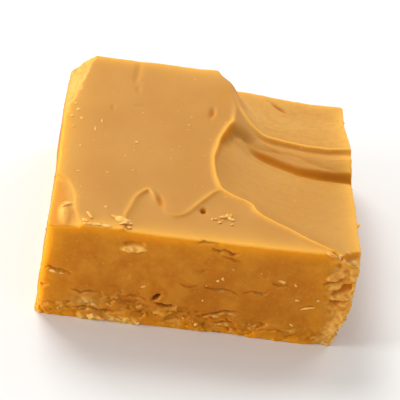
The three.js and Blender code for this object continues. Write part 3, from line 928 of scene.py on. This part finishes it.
def fudge_material():
    n = Nodes("caramel_fudge")
    where = n.add("ShaderNodeTexCoord").outputs["Object"]
    normal = n.add("ShaderNodeNewGeometry").outputs["Normal"]
    across, deep, up = n.add("ShaderNodeSeparateXYZ", {0: normal}).outputs
    # Masks set on the block's points: painted shade, paleness and painted glow.
    painted_shade, pale, glow = (n.add("ShaderNodeAttribute", attribute_name=label).outputs["Fac"]
                        for label in ("painted_shade", "pale", "glow"))
    broad = n.noise(where, 90, 2)
    middle = n.noise(where, 420, 3)
    fine = n.noise(where, 2600, 3, 0.6)
    # Faces turned up take the top colours, the others the cut colours: partly the spread skin against the cut
    # inside, partly painted sheen on the top and painted shade on the sides.
    top = n.ranged(up, 0.4, 0.9)
    cut = n.math("SUBTRACT", 1.0, top)
    cut_colour = n.mix(n.ranged(middle, 0.35, 0.7), CUT_DEEP, CUT_LIGHT)
    top_colour = n.mix(n.ranged(broad, 0.35, 0.65), TOP_DEEP, TOP_LIGHT)
    grains = n.ranged(n.noise(where, 1500, 4, 0.7), 0.56, 0.70)
    cut_colour = n.mix(n.math("MULTIPLY", grains, 0.4), cut_colour, CUT_GRAIN)
    # Painted shade: cut faces turned to the back and to the left lean to a darker colour, against the key
    # light from behind on the left.
    leftward = n.math("MULTIPLY", across, -1.0)
    away = n.math("MAXIMUM", n.ranged(deep, 0.2, 0.7), n.ranged(leftward, 0.5, 0.9))
    cut_colour = n.mix(n.math("MULTIPLY", away, 0.85), cut_colour, CUT_BACK_LEFT_PAINTED_SHADE)
    colour = n.mix(top, cut_colour, top_colour)
    speck = n.add("ShaderNodeTexVoronoi", {"Vector": where, "Scale": 700}).outputs["Distance"]
    speck_gate = n.ranged(n.noise(where, 260, 1), 0.60, 0.68)
    speckle = n.math("MULTIPLY", n.ranged(speck, 0.16, 0.08), speck_gate)
    colour = n.mix(n.math("MULTIPLY", speckle, 0.35), colour, SPECKLE)
    # Painted glow: edges, ridges and lips lighten to the glow colours, less on faces turned to the back.
    glow_colour = n.mix(top, CUT_GLOW, TOP_GLOW)
    glow = n.math("MULTIPLY", glow, n.ranged(deep, 0.15, 0.7, 0.9, 0.45), clamp=True)
    colour = n.mix(glow, colour, glow_colour)
    # Paleness: crumbled and broken places, and painted light on the top's low ground and corner peak.
    mottle = n.ranged(n.noise(where, 1100, 3), 0.32, 0.60, 0.45, 0.85)
    colour = n.mix(n.math("MULTIPLY", pale, mottle), colour, PALE)
    # Painted shade: hollows and recesses lean to a deeper, darker orange, the deepest cracks to near black.
    painted_shade_colour = n.mix(top, CUT_PAINTED_SHADE, TOP_PAINTED_SHADE)
    shade = n.math("MULTIPLY", n.ranged(painted_shade, 0.15, 0.8), n.ranged(top, 0, 1, 0.8, 0.95))
    colour = n.mix(shade, colour, painted_shade_colour)
    colour = n.mix(n.math("MULTIPLY", n.ranged(painted_shade, 1.0, 1.3), 0.97), colour, DEEPEST_PAINTED_SHADE)
    matt = n.math("MULTIPLY", n.math("MAXIMUM", cut, glow), 0.15)
    rough = n.math("ADD", n.ranged(middle, 0.3, 0.7, 0.48, 0.58), matt)
    relief = n.math("ADD", n.math("MULTIPLY", fine, 0.5), n.math("MULTIPLY", middle, 0.5))
    strength = n.math("ADD", n.ranged(top, 0.0, 1.0, 0.55, 0.3), n.math("MULTIPLY", pale, 0.4))
    bump = n.add("ShaderNodeBump", {"Strength": strength, "Distance": 0.00013, "Height": relief})
    return finish_material(n, colour, rough, bump, 0.5, 0.0012)


def crumb_material():
    n = Nodes("pale_crumb")
    where = n.add("ShaderNodeTexCoord").outputs["Object"]
    colour = n.mix(n.ranged(n.noise(where, 900, 3), 0.35, 0.65), CRUMB_DEEP, CRUMB_LIGHT)
    grain = n.noise(where, 4000, 3, 0.6)
    bump = n.add("ShaderNodeBump", {"Strength": 0.4, "Distance": 0.00008, "Height": grain})
    rough = n.ranged(n.noise(where, 1500, 2), 0.3, 0.7, 0.5, 0.7)
    return finish_material(n, colour, rough, bump, 0.2, 0.0002)


def finish_material(n, colour, rough, bump, weight, scale):
    """Closes a node tree with a satin, slightly translucent shader; light goes about scale metres deep."""
    shader = n.add("ShaderNodeBsdfPrincipled", {
        "Base Color": colour, "Roughness": rough, "Normal": bump.outputs[0],
    })
    shader.subsurface_method = "RANDOM_WALK"
    shader.inputs["Subsurface Weight"].default_value = weight
    shader.inputs["Subsurface Radius"].default_value = (1.0, 0.42, 0.12)
    shader.inputs["Subsurface Scale"].default_value = scale
    shader.inputs["Specular IOR Level"].default_value = 0.14
    n.add("ShaderNodeOutputMaterial", {"Surface": shader.outputs[0]})
    return n.material


fudge.data.materials.clear()
fudge.data.materials.append(fudge_material())
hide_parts(NODE)
crumb_look = crumb_material()
crumbs.data.materials.append(crumb_look)
specks.data.materials.append(crumb_look)
for piece in (fudge, crumbs, specks):
    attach(piece, "root")


# ---------------------------------------------------------------------------------------------------
# Floor, light and camera
# ---------------------------------------------------------------------------------------------------

MIDDLE = Vector((0, 0, 0.007))

floor_mesh = bpy.data.meshes.new("floor")
FLOOR = 3.0
floor_corners = [(-FLOOR, -FLOOR, 0), (FLOOR, -FLOOR, 0), (FLOOR, FLOOR, 0), (-FLOOR, FLOOR, 0)]
floor_mesh.from_pydata(floor_corners, [], [(0, 1, 2, 3)])
floor = bpy.data.objects.new("floor", floor_mesh)
bpy.context.scene.collection.objects.link(floor)
floor_nodes = Nodes("pale_floor")
floor_look = {"Base Color": (0.87, 0.87, 0.86, 1), "Roughness": 0.7}
floor_shader = floor_nodes.add("ShaderNodeBsdfPrincipled", floor_look)
floor_nodes.add("ShaderNodeOutputMaterial", {"Surface": floor_shader.outputs[0]})
floor_mesh.materials.append(floor_nodes.material)

world = bpy.data.worlds.new("studio")
bpy.context.scene.world = world
world.use_nodes = True
world_colour, world_strength = world.node_tree.nodes["Background"].inputs[:2]
world_colour.default_value = (1.0, 0.99, 0.97, 1)
world_strength.default_value = 0.5


def outwards(azimuth, elevation):
    """The way out from the block, in degrees; azimuth 0 is the front, 90 the right."""
    a, e = math.radians(azimuth), math.radians(elevation)
    return Vector((math.sin(a) * math.cos(e), -math.cos(a) * math.cos(e), math.sin(e)))


def soft_light(name, azimuth, elevation, distance, size, power):
    """A square area light that faces the block."""
    out = outwards(azimuth, elevation)
    data = bpy.data.lights.new(name, "AREA")
    data.size = size
    data.energy = power
    lamp = bpy.data.objects.new(name, data)
    lamp.location = MIDDLE + out * distance
    lamp.rotation_euler = out.to_track_quat("Z", "Y").to_euler()
    bpy.context.scene.collection.objects.link(lamp)


soft_light("key_behind_left", -152, 50, 0.7, 0.34, 3.3)
soft_light("rim_behind_right", 140, 30, 0.7, 0.30, 1.0)
soft_light("side_left", -78, 10, 0.6, 0.2, 2.9)

scene = bpy.context.scene
scene.view_settings.view_transform = "Standard"
scene.view_settings.look = "None"

CAMERA_AZIMUTH = -4.26
CAMERA_ELEVATION = 36.4
CAMERA_DISTANCE = 0.2539
CAMERA_ROLL = 9.35
CAMERA_LENS = 164.0

camera_data = bpy.data.cameras.new("camera")
camera = bpy.data.objects.new("camera", camera_data)
scene.collection.objects.link(camera)
scene.camera = camera
out = outwards(CAMERA_AZIMUTH, CAMERA_ELEVATION)
camera.location = MIDDLE + out * CAMERA_DISTANCE
facing = out.to_track_quat("Z", "Y").to_matrix().to_4x4()
roll = Matrix.Rotation(math.radians(CAMERA_ROLL), 4, "Z")
camera.matrix_world = Matrix.Translation(camera.location) @ facing @ roll
camera_data.sensor_width = 36.0
camera_data.lens = CAMERA_LENS
camera_data.clip_start = 0.01
